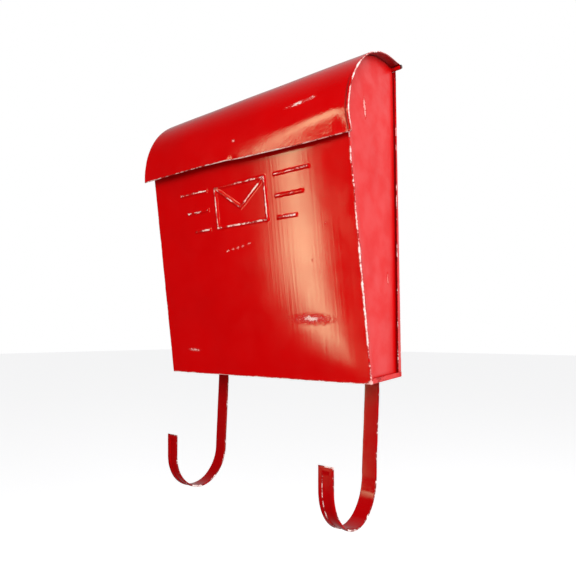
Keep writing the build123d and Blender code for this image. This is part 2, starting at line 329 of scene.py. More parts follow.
def paint(name, base, dark, rough=0.24, streak=None, streak_k=0.0, scuffs=(), wear=1.0, peel=0.1, grain=240.0, speck=0.35, shine=0.5):
    """Brushed-on enamel over light steel, worn through along folds and at scuffs, with painted shade where the edge
    attribute is below zero.
    """
    m, nt = new_mat(name)
    g = Nodes(nt)
    out = g.add("ShaderNodeOutputMaterial")
    bsdf = g.add("ShaderNodeBsdfPrincipled")
    nt.links.new(bsdf.outputs[0], out.inputs[0])
    co = g.add("ShaderNodeTexCoord").outputs["Object"]
    edge = g.add("ShaderNodeAttribute", attribute_name="edge").outputs["Fac"]
    # how worn a place is: folds first, broken up by noise
    n_big = g.noise(co, 60.0, 4.0, 0.6)
    n_fine = g.noise(co, 420.0, 4.0, 0.65)
    n_mix = g.math("ADD", g.math("MULTIPLY", n_big, 0.58), g.math("MULTIPLY", n_fine, 0.42))
    lift = g.math("SUBTRACT", n_mix, 0.5)
    w_edge = g.math("ADD", edge, g.math("MULTIPLY", lift, 2.1))
    bare = g.ramp(w_edge, 0.76 / wear, 0.88 / wear)
    rim = g.ramp(w_edge, 0.56 / wear, 0.74 / wear)
    # separate scuffs: (centre, half sizes, rotation, strength)
    scratch = g.noise(co, 1.0, 4.0, 0.7, stretch=(380, 380, 1200))
    matt = g.math("MULTIPLY", rim, 0.8)
    for c, s, t, k in scuffs:
        sp = g.spot(co, c, s, t)
        v = g.math("ADD", g.math("MULTIPLY", sp, 0.85 * k), g.math("MULTIPLY", g.math("SUBTRACT", scratch, 0.5), 2.3))
        v = g.math("MULTIPLY", v, g.ramp(sp, 0.0, 0.25))
        bare = g.math("MAXIMUM", bare, g.ramp(v, 0.52, 0.62))
        matt = g.math("MAXIMUM", matt, g.ramp(v, 0.20, 0.32))
        rim = g.math("MAXIMUM", rim, g.math("MULTIPLY", g.ramp(v, 0.36, 0.52), 0.30))
    # paint colour: slow mottling, painted shade in folds and steps, and tiny pits
    mottle = g.noise(co, 14.0, 3.0, 0.55)
    col = g.mix(g.ramp(mottle, 0.35, 0.70, 0.0, 0.4), base + (1,), dark + (1,))
    # painted shade: where the edge attribute is below zero (folds, flange steps) the colour goes to a near-black red
    # and the paint turns matt
    fold_shade = g.math("MULTIPLY", edge, -1.0, clamp=True)
    col = g.mix(g.math("MULTIPLY", fold_shade, g.ramp(n_mix, 0.2, 0.6, 0.7, 1.0)), col, (0.13, 0.0004, 0.001, 1))
    vor = g.add("ShaderNodeTexVoronoi", feature="F1")
    g.put(vor.inputs["Vector"], co)
    vor.inputs["Scale"].default_value = 130.0
    pit = g.math("MULTIPLY", g.ramp(vor.outputs["Distance"], 0.075, 0.045), g.ramp(g.noise(co, 33.0, 1.0), 0.56, 0.60))
    pit = g.math("MULTIPLY", pit, speck)
    col = g.mix(pit, col, (0.09, 0.008, 0.006, 1))
    col = g.mix(g.math("MULTIPLY", rim, 0.75), col, (dark[0] * 0.42, 0.003, 0.003, 1))
    metal_tone = g.mix(g.ramp(n_mix, 0.42, 0.64), (0.84, 0.27, 0.25, 1), (0.95, 0.78, 0.74, 1))
    col = g.mix(bare, col, metal_tone)
    g.put(bsdf.inputs["Base Color"], col)
    g.put(bsdf.inputs["Metallic"], g.math("MULTIPLY", bare, 0.25))
    r_var = g.ramp(g.noise(co, 45.0, 4.0, 0.6), 0.3, 0.7, rough * 0.8, rough * 1.25)
    matt = g.math("MAXIMUM", matt, g.math("MULTIPLY", fold_shade, 0.9))
    r_all = g.mixf(g.math("MAXIMUM", bare, matt), r_var, 0.62)
    g.put(bsdf.inputs["Roughness"], r_all)
    # relief: brush lines, orange peel and the step where paint is missing
    h = g.math("MULTIPLY", g.noise(co, grain, 3.0, 0.5), peel)
    if streak is not None:
        s1 = g.noise(co, 1.0, 2.0, 0.55, stretch=streak)
        s2 = g.noise(co, 1.0, 2.0, 0.5, stretch=tuple(0.35 * s for s in streak), offset=(3.1, 1.7, 0.4))
        h = g.math("ADD", h, g.math("MULTIPLY", g.math("ADD", g.math("MULTIPLY", s1, 0.9), g.math("MULTIPLY", s2, 0.16)), streak_k))
    h = g.math("SUBTRACT", h, g.math("MULTIPLY", bare, 0.8))
    h = g.math("ADD", h, g.math("MULTIPLY", g.math("MULTIPLY", matt, n_fine), 0.9))
    h = g.math("SUBTRACT", h, g.math("MULTIPLY", pit, 0.6))
    bp = g.add("ShaderNodeBump")
    bp.inputs["Strength"].default_value = 1.0
    bp.inputs["Distance"].default_value = 0.0001
    g.put(bp.inputs["Height"], h)
    g.put(bsdf.inputs["Normal"], bp.outputs[0])
    bsdf.inputs["IOR"].default_value = 1.5
    g.put(bsdf.inputs["Specular IOR Level"], g.mixf(g.math("MAXIMUM", matt, bare), shine, 0.14))
    return m


RED = (0.56, 0.0006, 0.0012)
RED_D = (0.47, 0.0004, 0.001)
PI = math.pi
front_scuffs = [
    (mm(79, front_y(61), 61), (0.039, 0.006, 0.0084), (0, 0.03, 0), 0.66),
    (mm(79, front_y(61), 61.5), (0.016, 0.006, 0.0042), (0, 0.06, 0), 1.25),
    (mm(-96, front_y(28), 28), (0.016, 0.004, 0.0028), (0, 0.05, 0), 0.95),
    (mm(-25, front_y(138), 138), (0.0050, 0.004, 0.0020), (0, -0.2, 0), 0.95),
    (mm(-17, front_y(139), 139), (0.0036, 0.004, 0.0026), (0, 0.3, 0), 1.0),
    (mm(-9.5, front_y(140), 140), (0.0036, 0.004, 0.0026), (0, -0.1, 0), 1.0),
    (mm(-2, front_y(141), 141), (0.0036, 0.004, 0.0026), (0, -0.3, 0), 1.0),
    (mm(7, front_y(142.5), 142.5), (0.0056, 0.004, 0.0018), (0, -0.2, 0), 0.9),
    (mm(106, front_y(151), 151), (0.0020, 0.004, 0.0030), (0, 0, 0), 0.55),
    (mm(87, front_y(118), 118), (0.0018, 0.004, 0.0022), (0, 0, 0), 0.50),
]
lid_scuffs = [
    (mm(90, -105.5, 268.5), (0.026, 0.006, 0.0042), (0, -0.06, 0), 0.95),
    (mm(87, -105.5, 268.5), (0.013, 0.006, 0.0036), (0, -0.06, 0), 1.55),
    (mm(103, -105.2, 269.7), (0.008, 0.006, 0.0034), (0, -0.06, 0), 1.3),
    (mm(74, -105.9, 267.5), (0.008, 0.006, 0.0022), (0, -0.06, 0), 0.9),
    (mm(4.5, -107.4, 249), (0.0034, 0.006, 0.0030), (0, 0, 0), 1.0),
]
side_scuffs = [
    (mm(136.5, -61, 266), (0.004, 0.0042, 0.0150), (0.15, 0, 0), 1.3),
    (mm(136.5, -19, 102), (0.004, 0.0026, 0.010), (0, 0, 0), 1.0),
]
mat_front = paint("enamel_front", RED, RED_D, rough=0.10, streak=(430, 22, 9), streak_k=0.46, scuffs=front_scuffs, wear=1.02)
mat_lid = paint("enamel_lid", RED, RED_D, rough=0.12, streak=(14, 500, 500), streak_k=0.06, scuffs=lid_scuffs, wear=1.07, peel=1.5, grain=400.0)
mat_side = paint("enamel_side", RED, RED_D, rough=0.42, streak=(20, 300, 14), streak_k=0.12, scuffs=side_scuffs, wear=0.9, speck=0.2)
mat_side_l = paint("enamel_side_left", RED, RED_D, rough=0.50, streak=(20, 300, 14), streak_k=0.12, wear=0.9, speck=0.2, shine=0.12)
mat_back = paint("enamel_back", RED, RED_D, rough=0.33, streak=(300, 20, 14), streak_k=0.12, wear=0.9, scuffs=[
    (mm(60, 0, 210), (0.030, 0.004, 0.0040), (0, 0.5, 0), 0.95), (mm(-70, 0, 90), (0.018, 0.004, 0.0035), (0, -0.8, 0), 0.95),
    (mm(-100, 0, 280), (0.010, 0.004, 0.010), (0, 0, 0), 0.95), (mm(100, 0, 280), (0.010, 0.004, 0.010), (0, 0, 0), 0.95)])
# inner sides: the box's red made darker, as painted shade for the inside of the box and the underside of the lid
mat_in_shaded = paint("enamel_inside_shaded", (0.28, 0.0006, 0.001), (0.20, 0.0004, 0.001), rough=0.40, streak=(20, 300, 14), streak_k=0.12, wear=0.8)
# hooks: a darker red than the box, as painted shade for the box's shadow over them
mat_hook_shaded = paint("enamel_hook_shaded", (0.38, 0.0006, 0.0015), (0.28, 0.0004, 0.001), rough=0.13, streak=(500, 30, 30), streak_k=0.10, wear=0.86, peel=0.15, shine=0.22)
mat_rivet = paint("enamel_rivet", (0.34, 0.0006, 0.0015), (0.26, 0.0004, 0.001), rough=0.28, wear=1.05, peel=0.2)


def pin_material():
    m, nt = new_mat("pin_wire")
    g = Nodes(nt)
    out = g.add("ShaderNodeOutputMaterial")
    bsdf = g.add("ShaderNodeBsdfPrincipled")
    nt.links.new(bsdf.outputs[0], out.inputs[0])
    co = g.add("ShaderNodeTexCoord").outputs["Object"]
    n1 = g.noise(co, 500.0, 4.0, 0.6)
    n2 = g.noise(co, 60.0, 3.0, 0.6)
    rust = g.ramp(g.math("ADD", g.math("MULTIPLY", n1, 0.5), g.math("MULTIPLY", n2, 0.6)), 0.50, 0.66)
    g.put(bsdf.inputs["Base Color"], g.mix(rust, (0.10, 0.085, 0.08, 1), (0.16, 0.02, 0.012, 1)))
    g.put(bsdf.inputs["Metallic"], g.math("SUBTRACT", 0.85, g.math("MULTIPLY", rust, 0.7)))
    g.put(bsdf.inputs["Roughness"], g.ramp(rust, 0, 1, 0.34, 0.62))
    bp = g.add("ShaderNodeBump")
    bp.inputs["Strength"].default_value = 0.6
    bp.inputs["Distance"].default_value = 0.0001
    g.put(bp.inputs["Height"], n1)
    g.put(bsdf.inputs["Normal"], bp.outputs[0])
    return m


mat_pin = pin_material()

# ---------------------------------------------------------------- camera
cam_data = bpy.data.cameras.new("camera")
cam = link(bpy.data.objects.new("camera", cam_data))
cam_data.sensor_width = 36.0
cam_data.lens = 520.85 / 576.0 * 36.0
cam_data.clip_start = 0.02
cam_data.clip_end = 60.0
yaw, pitch, roll = map(math.radians, (38.2446, 5.1515, 0.0563))
fwd = Vector((-math.sin(yaw) * math.cos(pitch), math.cos(yaw) * math.cos(pitch), math.sin(pitch)))
right = Vector((math.cos(yaw), math.sin(yaw), 0))
up = right.cross(fwd)
right, up = right * math.cos(roll) + up * math.sin(roll), -right * math.sin(roll) + up * math.cos(roll)
rot = Matrix((right, up, -fwd)).transposed().to_4x4()
cam.matrix_world = Matrix.Translation(Vector(mm(379.48, -489.68, 45.55))) @ rot
scene.camera = cam

# ---------------------------------------------------------------- front panel
nf = np.array([0, -math.cos(A), -math.sin(A)])       # outward normal
vf = np.array([0, -math.sin(A), math.cos(A)])        # up the slope
L_F = H_FRONT / math.cos(A)

E_Z = 186.0
E_V = E_Z / math.cos(A)
EW, EH = 72.0, 44.0
strokes = [(-EW / 2, -EH / 2, EW / 2, -EH / 2), (-EW / 2, EH / 2, EW / 2, EH / 2), (-EW / 2, -EH / 2, -EW / 2, EH / 2),
           (EW / 2, -EH / 2, EW / 2, EH / 2), (-EW / 2, EH / 2, 0, -4), (EW / 2, EH / 2, 0, -4)]
for sx in (-1, 1):
    for v, reach in ((EH / 2, 92), (0, 82), (-EH / 2, 72)):
        strokes.append((sx * 50, v, sx * reach, v))


def emblem(x, v):
    """Raised beads of the stamped envelope and lines, in mm."""
    h = np.zeros(np.broadcast(x, v).shape)
    q = v - E_V
    for k, (x0, v0, x1, v1) in enumerate(strokes):
        dx, dv = x1 - x0, v1 - v0
        t = np.clip(((x - x0) * dx + (q - v0) * dv) / (dx * dx + dv * dv), 0, 1)
        d = np.hypot(x - x0 - t * dx, q - v0 - t * dv)
        d = d + 0.12 * waves(x, v, 40 + k, 9.0, 1)
        h = np.maximum(h, 1.32 * (1 - smooth(d, 0.6, 2.4)) * (1 + 0.10 * waves(x, v, 60 + k, 14.0, 1)))
    return h


def front_warp(x, v):
    """Slow unevenness of the sheet, held flat along its folded sides."""
    side = smooth(HALF - np.abs(x), 0, 26)
    foot = smooth(v, 0, 20)
    w = 0.30 * side * foot * waves(x, v, 5, 230.0, 2)
    w += 0.9 * side * foot * (1 - (x / HALF) ** 2) * np.sin(np.clip(v / L_F, 0, 1) * PI)
    w += -0.25 * bump(x - 80, 16) * bump(v - 61, 7)
    w += -0.10 * bump(x + 14, 12) * bump(v - 143, 5)
    return w


r_c = 1.1
arc_a = np.linspace(0, PI / 2, 6)
xs_half = [0.0]
px = []      # profile across the width: (x, drop behind the face, inset for the inner side)
fine = np.arange(-100, 100.01, 0.75)
coarse = np.concatenate([np.arange(-138, -100, 3.0), np.arange(102, 138.1, 3.0)])
face_x = joined(fine, coarse, [-(HALF - r_c), HALF - r_c])
prof = []
for n in np.linspace(RIM_F, r_c, 4)[:-1]:
    prof.append((-HALF, -n, -HALF + T, -n))
for a in arc_a[::-1]:
    prof.append((-HALF + r_c - r_c * math.sin(a), -r_c + r_c * math.cos(a), -HALF + r_c - (r_c - T) * math.sin(a), -r_c + (r_c - T) * math.cos(a)))
for x in face_x[1:-1]:
    prof.append((x, 0, x, -T))
for a in arc_a:
    prof.append((HALF - r_c + r_c * math.sin(a), -r_c + r_c * math.cos(a), HALF - r_c + (r_c - T) * math.sin(a), -r_c + (r_c - T) * math.cos(a)))
for n in np.linspace(r_c, RIM_F, 4)[1:]:
    prof.append((HALF, -n, HALF - T, -n))
prof = np.array(prof)
vs = joined([0, 0.08, 0.25, 0.5], np.arange(2, 150, 4.0), np.arange(E_V - 28, E_V + 28, 0.75), np.arange(E_V + 30, L_F - 9, 4.0),
            [L_F - 8.6, L_F - 8.2, L_F - 8.0, L_F - 7.8, L_F - 4, L_F - 1, L_F - 0.8, L_F - 0.55, L_F - 0.25, L_F - 0.08, L_F])
V, I = np.meshgrid(vs, np.arange(len(prof)), indexing="ij")
XO, NO, XI, NI = (prof[I, k] for k in range(4))
on_face = (np.abs(prof[:, 0]) < HALF - r_c + 0.001)[I]
disp = front_warp(XO, V) + emblem(XO, V)
# the folded corner wanders a little and has small nicks
wob = 0.22 * waves(V, V * 0, 11, 40.0, 3) * smooth(np.abs(XO), HALF - 8, HALF - 1)
nick = -0.5 * sum(bump(V - c, w) for c, w in ((32, 3.0), (95, 2.2), (104, 1.6), (150, 2.6), (168, 1.8), (205, 3.0)))
nick = nick * (XO > HALF - 3) * smooth(XO, HALF - 3, HALF)
sgn = np.sign(XO)
XO2 = XO + sgn * wob + nick * 0.8
XI2 = XI + sgn * wob + nick * 0.8
# rounding of the cut bottom edge and of the hemmed top edge
t_here = T + (smooth(V, L_F - 8.2, L_F - 7.9) * T) * (np.abs(XO) < HALF - RECESS - T - 0.4)
rb = np.where(V < 5, T / 2, t_here / 2)
dist = np.minimum(V, L_F - V)
f = fold(dist, rb)
NO2 = NO + disp - f * on_face
NI2 = NI + disp - (t_here - T) * on_face + f * on_face
base = vf[None, None, :] * V[..., None] + np.array([0, -D_BOTTOM, 0])
PO = base + nf * NO2[..., None] + np.array([1.0, 0, 0]) * XO2[..., None]
PI_ = base + nf * NI2[..., None] + np.array([1.0, 0, 0]) * XI2[..., None]
PO[..., 0] = XO2
PI_[..., 0] = XI2
corner = smooth(np.abs(XO), HALF - 3.2, HALF - 0.3)
e_front = np.maximum.reduce([corner * (0.86 - 0.30 * smooth(-NO, 0.8, 1.8)), (0.86 + 0.10 * waves(XO, V * 0, 15, 60.0, 2)) * (1 - smooth(V, 0.5, 2.2)), 0.92 * (1 - smooth(np.hypot(XO - HALF, V), 3, 8)), 0.75 * (1 - smooth(L_F - V, 0.5, 2.2))])
# worn tops of the beads; their pale bare metal is partly painted highlight along the strokes
em = emblem(XO, V)
e_front = np.maximum(e_front, 0.84 * smooth(em, 1.02, 1.26))
verts, faces, ea, inn = shell(PO, PI_, e_front)
front = mesh_object("front_skin", [(verts, faces, ea, inn)], [mat_front, mat_in_shaded])
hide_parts("front_panel")
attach(front, "box")

# ---------------------------------------------------------------- side panels
inner_r = LID_R - T - 0.45
z_meet = H_FRONT
for _ in range(60):
    y_arc = front_y(z_meet, T)
    z_meet = LID_CZ + math.sqrt(max(inner_r ** 2 - (y_arc - LID_CY) ** 2, 0))
top_z = LID_CZ + inner_r


def side_piece(name, sx):
    ff = 0.7   # fillet at the flange
    steps = [(0.8, 2.7, 0.0), (0.8, 1.8, 0.0), (0.8, 0.9, 0.0)]
    for a in np.linspace(0, PI / 2, 5):
        steps.append((0.8 + ff - ff * math.cos(a), ff - ff * math.sin(a), 0.0))
    # columns from the front edge to the wall: (inset from front, inset from back, out)
    cols = [("f", i, o) for i, o, _ in steps] + [("m", t, 0) for t in np.concatenate([np.linspace(0, 0.93, 32)[1:], [0.942, 0.951, 0.958, 0.965, 0.972, 0.979, 0.986, 0.993]])] + [("b", i, o) for i, o, _ in steps[::-1]]
    rows = [("f", i, o) for i, o, _ in steps] + [("m", t, 0) for t in np.linspace(0, 1, 70)[1:-4]] + [("m", t, 0) for t in (0.975, 0.99, 0.9955, 0.9975, 0.9988, 1.0)]
    n, m = len(rows), len(cols)
    PO, PN = np.zeros((n, m, 3)), np.zeros((n, m, 3))
    E = np.zeros((n, m))

    a0 = math.atan2(z_meet - LID_CZ, -(front_y(z_meet, T) - LID_CY))
    path = [(LID_CY - inner_r * math.cos(a), LID_CZ + inner_r * math.sin(a)) for a in np.linspace(a0, PI / 2, 60)]
    nr = 2.85
    path += [(PIN_Y + nr * math.cos(a), PIN_Z + nr * math.sin(a)) for a in np.linspace(math.radians(156), math.radians(268), 14)]
    path += [(-T - 0.8 - ff, 324.75)]
    path = np.array(path)
    plen = np.concatenate([[0], np.cumsum(np.linalg.norm(np.diff(path, axis=0), axis=1))])

    def top_point(c):
        """Point on the top outline; c = 0 at the front, 1 at the back."""
        s_ = c * plen[-1]
        return float(np.interp(s_, plen, path[:, 0])), float(np.interp(s_, plen, path[:, 1]))
    for i, (rk, rv, ro) in enumerate(rows):
        for j, (ck, cv, co_) in enumerate(cols):
            for target, shift, lift in ((PO, 0.0, 0.0), (PN, -0.8, -0.8)):
                ins = (cv + (shift if co_ > 0 or cv < 2 else 0)) if ck in "fb" else 0.0
                ins = max(ins, 0.0)
                # bottom and top ends of this column
                rins = max((rv + (shift if rk == "f" else 0)), 0.0) if rk == "f" else 0.8 + ff
                full = 0.8 + ff
                if ck == "f":
                    c = 0.0
                elif ck == "b":
                    c = 1.0
                else:
                    c = cv
                ty, tz = top_point(c)
                if c == 0.0:
                    zb = floor_z(front_y(0), T + rins)
                    by = front_y(zb, T + (ins if ck == "f" else full))
                    zb = floor_z(by, T + rins)
                    by = front_y(zb, T + (ins if ck == "f" else full))
                    ty = ty + (ins if ck == "f" else full) / math.cos(A)
                    tz = LID_CZ + math.sqrt(max(inner_r ** 2 - (ty - LID_CY) ** 2, 0))
                elif c == 1.0:
                    by = -T - (ins if ck == "b" else full)
                    zb = floor_z(by, T + rins)
                    ty = by
                    tz = 324.75
                else:
                    f0 = front_y(0, T + full)
                    y0 = front_y(floor_z(f0, T + rins), T + full)
                    y1 = -T - full
                    by = y0 + (y1 - y0) * c
                    zb = floor_z(by, T + rins)
                    t0 = front_y(z_meet, T) + full / math.cos(A)
                    ty = max(ty, t0)
                    if c < 0.2:
                        tz = LID_CZ + math.sqrt(max(inner_r ** 2 - (ty - LID_CY) ** 2, 0))
                t = 0.0 if rk == "f" else rv
                y = by + (ty - by) * t
                z = zb + (tz - zb) * t
                # no flange above the front panel's top edge
                o = max(ro if rk == "f" else 0.0, co_)
                if ck in "fb" and rk == "m":
                    o *= float(1 - smooth(z, 316, 321)) if ck == "b" else float(1 - smooth(z, 262, 268))
                w = 0.0
                if rk == "m" and ck == "m":
                    mid = smooth(t, 0, 0.15) * smooth(1 - t, 0, 0.1) * smooth(c, 0, 0.2) * smooth(1 - c, 0, 0.2)
                    w = float(0.35 * mid * waves(y, z, 21 if sx > 0 else 22, 120.0, 2) - 0.35 * mid)
                target[i, j] = (sx * (HALF - RECESS + (o if lift == 0 or o > 0.01 else 0) + (lift if o < ff else 0) + w), y, z)
            e = 0.0
            if rk == "m" and rv > 0.99:
                e = 0.6
            lift_ = max(ro if rk == "f" else 0, co_)
            if lift_ > 2.5:
                e = 0.62
            elif 0.01 < lift_:
                # painted shade: the flange's fillet and step get a negative edge value, which the paint darkens to
                # near-black red
                e = -1.0 if ck == "b" else -0.8
            E[i, j] = e
    verts, faces, ea, inn = shell(PO, PN, E)
    ob = mesh_object(name, [(verts, faces, ea, inn)], [mat_side if sx > 0 else mat_side_l, mat_in_shaded])
    return ob


side_r = side_piece("side_skin_right", 1)
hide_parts("right_side_panel")
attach(side_r, "box")
side_l = side_piece("side_skin_left", -1)
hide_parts("left_side_panel")
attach(side_l, "box")

# ---------------------------------------------------------------- lid
drop = math.radians(LID_DROP)
arc_len = (PI / 2 + drop) * LID_R
flat_len = -LID_CY + PIN_Y
roll_deg = 292.0
roll_len = math.radians(roll_deg) * KN_R
s_flat = arc_len
s_roll = arc_len + flat_len
s_end = s_roll + roll_len
s_notch = arc_len + (-5.5 - LID_CY)      # where the sheet stops over the fixed knuckles


def lid_base(s):
    """Outer surface point (y, z) and outward normal at arc length s from the lower edge."""
    s = np.asarray(s, float)
    a = s / LID_R - drop
    y = LID_CY - LID_R * np.cos(a)
    z = LID_CZ + LID_R * np.sin(a)
    ny, nz = -np.cos(a), np.sin(a)
    on_flat = (s > s_flat)
    y = np.where(on_flat, LID_CY + (s - s_flat), y)
    z = np.where(on_flat, LID_CZ + LID_R, z)
    ny = np.where(on_flat, 0.0, ny)
    nz = np.where(on_flat, 1.0, nz)
    on_roll = s > s_roll
    b = PI / 2 - (s - s_roll) / KN_R
    y = np.where(on_roll, PIN_Y + KN_R * np.cos(b), y)
    z = np.where(on_roll, PIN_Z + KN_R * np.sin(b), z)
    ny = np.where(on_roll, np.cos(b), ny)
    nz = np.where(on_roll, np.sin(b), nz)
    return y, z, ny, nz


k1, k2 = KN_X
gaps = [k1 - KN_GAP / 2, k1 + KN_GAP / 2, k2 - KN_GAP / 2, k2 + KN_GAP / 2]
border = np.array([0, 0.06, 0.2, 0.42, 0.8])
lx = joined(-LID_H + border, LID_H - border, np.arange(-LID_H + 1.6, LID_H - 1.5, 2.0), [-LID_H + 4.7, -LID_H + 5.0, -LID_H + 5.3, LID_H - 5.3, LID_H - 5.0, LID_H - 4.7],
            gaps, [-g_ for g_ in gaps], np.arange(-20, 30, 1.0), np.arange(124, 144, 1.0))
ls = joined(border, np.arange(1.6, 34, 1.0), [5.7, 6.0, 6.3], np.arange(34, s_flat, 2.2), np.arange(s_flat, s_notch, 1.4), [s_notch - 2.4, s_notch - 2.0, s_notch - 1.6, s_notch], np.linspace(s_roll, s_end, 26), np.linspace(s_notch, s_roll, 4), [s_end - 0.2, s_end - 0.06])
S, X = np.meshgrid(ls, lx, indexing="ij")
# the lower edge is not quite level, and is beaten in at the right
q_edge = np.interp(lx, [-147, -46, -3, 14, 92, 147], [3.6, 3.6, 2.0, 0.6, -1.8, -2.0])
Q = S + q_edge[None, :] * (1 - smooth(S, 0, 60))
q_crease = np.interp(lx, [-10, 3, 15, 43, 69, 93, 116, 133, 140, 144, 147], [0, 4, 9.0, 11.5, 15.5, 19.5, 23.0, 24.0, 21.0, 16.0, 14.0])
xu = np.arange(-150, 150.1, 0.5)
qu = np.convolve(np.pad(np.interp(xu, lx, q_crease), 14, mode="edge"), np.hanning(29) / np.hanning(29).sum(), mode="valid")
q_crease = np.interp(lx, xu, qu)
tilt = np.degrees(Q / LID_R) - LID_DROP
want = -9.6
blend = smooth((q_crease[None, :] - Q), -8.0, 15.0) * smooth(X, -6, 16)
rate = np.radians(np.maximum(tilt - want, 0)) * blend
dq = np.diff(Q, axis=0)
inward = np.zeros_like(Q)
seg = 0.5 * (rate[1:] + rate[:-1]) * dq
inward[:-1] = np.cumsum(seg[::-1], axis=0)[::-1]
dent = -inward
# the corner itself is pinched in, and there is a kink where the dent begins
dent += -2.4 * smooth(X, 126, 147) * (1 - smooth(Q, 0, 20))
dent += -1.1 * bump(X - 3, 5.0) * (1 - smooth(Q, 0, 9)) + 0.8 * bump(X + 7, 5.0) * (1 - smooth(Q, 0, 7))
dent += 0.30 * waves(X, S, 31, 130.0, 2) * smooth(s_flat - S, 0, 30) * 0.9
dent += 0.06 * waves(X, S, 33, 30.0, 2) * smooth(s_flat - S, 0, 30) * bump(Q - 6, 16) * smooth(X, -20, 40)
dent += -0.22 * bump(X - 90, 16) * bump(S - 29, 5) - 0.15 * bump(X - 4.5, 4) * bump(S - 22, 4)
arc_zone = (1 - smooth(S, s_notch - 2.4, s_notch - 1.6))
b_side = LID_H - np.abs(X)
b_low = S
hem_side = (1 - smooth(b_side, 4.85, 5.15)) * arc_zone
hem_low = 1 - smooth(b_low, 5.85, 6.15)
t_tot = T * (1 + np.maximum(hem_side, hem_low))
r_side = np.where(b_side < 1, 0.5 * T * (1 + arc_zone), 0.5 * T)
f1 = fold(b_side, r_side)
f2 = fold(b_low, T)
f3 = fold(s_end - S, T / 2)
ff_ = np.maximum.reduce([f1, f2, f3])
ff_ = np.minimum(ff_, t_tot / 2)
by, bz, ny, nz = lid_base(Q)
kx = 1.0
edge_wob = 0.18 * waves(S, S * 0, 35, 36.0, 2) * smooth(np.abs(X), LID_H - 6, LID_H)
XX = X + np.sign(X) * np.minimum(edge_wob, 0)


def lid_pts(off):
    o = dent + off
    return np.stack([XX, by + ny * o, bz + nz * o], -1)


PO = lid_pts(-ff_)
PN = lid_pts(-t_tot + ff_)
mask = np.ones((len(ls) - 1, len(lx) - 1), bool)
cx = 0.5 * (lx[1:] + lx[:-1])
cs = 0.5 * (ls[1:] + ls[:-1])
fixed_zone = ((np.abs(cx) > k1 - KN_GAP / 2) & (np.abs(cx) < k2 + KN_GAP / 2))
mask[np.ix_(cs > s_notch, fixed_zone)] = False
# painted shade: a dark line just inside the right-hand side hem of the lid, near its lower edge, given as a negative
# edge value
lid_curl_shade = -0.9 * bump(b_side - 3.4, 1.1) * (1 - smooth(S, 40, 70)) * smooth(X, 0, 10)
e_lid = np.maximum.reduce([
    (0.88 - 0.10 * smooth(S, 60, 150)) * (1 - smooth(b_side, 0.5, 2.0)) * (S < s_roll),
    (0.80 + 0.10 * smooth(X, -20, 10)) * (1 - smooth(b_low, 0.5, 1.9)),
    0.45 * smooth(S, s_roll - 1, s_roll + 1)])
e_lid = np.where(e_lid < 0.05, lid_curl_shade, e_lid)
verts, faces, ea, inn = shell(PO, PN, e_lid, mask)
lid = mesh_object("lid_skin", [(verts, faces, ea, inn)], [mat_lid, mat_in_shaded])
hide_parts("lid")
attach(lid, "lid")

# ---------------------------------------------------------------- bottom panel
mb = np.array([0, -math.sin(BEV), math.cos(BEV)])     # up from the bottom sheet
prof = []
for h in np.linspace(RIM_B, 0.9, 4)[:-1]:
    prof.append((-HALF, h, -HALF + T, h, 1))
for a in np.linspace(PI / 2, 0, 5):
    prof.append((-HALF + 0.9 - 0.9 * math.sin(a), 0.9 - 0.9 * math.cos(a), -HALF + 0.9 - 0.1 * math.sin(a), 0.9 - 0.1 * math.cos(a), 1))
for x in np.linspace(-136, 136, 69):
    prof.append((x, 0, x, T, 0))
for a in np.linspace(0, PI / 2, 5):
    prof.append((HALF - 0.9 + 0.9 * math.sin(a), 0.9 - 0.9 * math.cos(a), HALF - 0.9 + 0.1 * math.sin(a), 0.9 - 0.1 * math.cos(a), 1))
for h in np.linspace(0.9, RIM_B, 4)[1:]:
    prof.append((HALF, h, HALF - T, h, 1))
prof = np.array(prof)
us = np.concatenate([[0, 0.004, 0.012], np.linspace(0.03, 0.97, 18), [0.988, 0.996, 1.0]])
PO, PN, E = (np.zeros((len(us), len(prof), 3)) for _ in range(3))
E = E[..., 0]
for i, u in enumerate(us):
    for j, (xo, ho, xi, hi, st) in enumerate(prof):
        for arr, x, h in ((PO, xo, ho), (PN, xi, hi)):
            z_near = h
            y_start = front_y(z_near, (RIM_F if st else T) + 0.02)
            y = y_start + (-0.05 - y_start) * u
            w = 0.0 if st else 0.25 * float(waves(x, y, 51, 90.0, 2)) * float(smooth(136 - abs(x), 0, 15)) * math.sin(PI * u)
            arr[i, j] = (x, y, floor_z(y) + (h + w) / math.cos(BEV))
        E[i, j] = 0.66 if (st and ho > 4.5) else (0.58 if st else (0.5 if u < 0.004 or u > 0.996 else 0.0))
verts, faces, ea, inn = shell(PO, PN, E)
bottom = mesh_object("bottom_skin", [(verts, faces, ea, inn)], [mat_side, mat_in_shaded])
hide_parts("bottom_panel")
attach(bottom, "box")

# ---------------------------------------------------------------- back panel
def rim_w(z):
    """Width of the strip that shows beside the side panel, at height z."""
    return T + (RIM_K - T) * np.clip((320 - z) / (320 - 9.0), 0, 1)


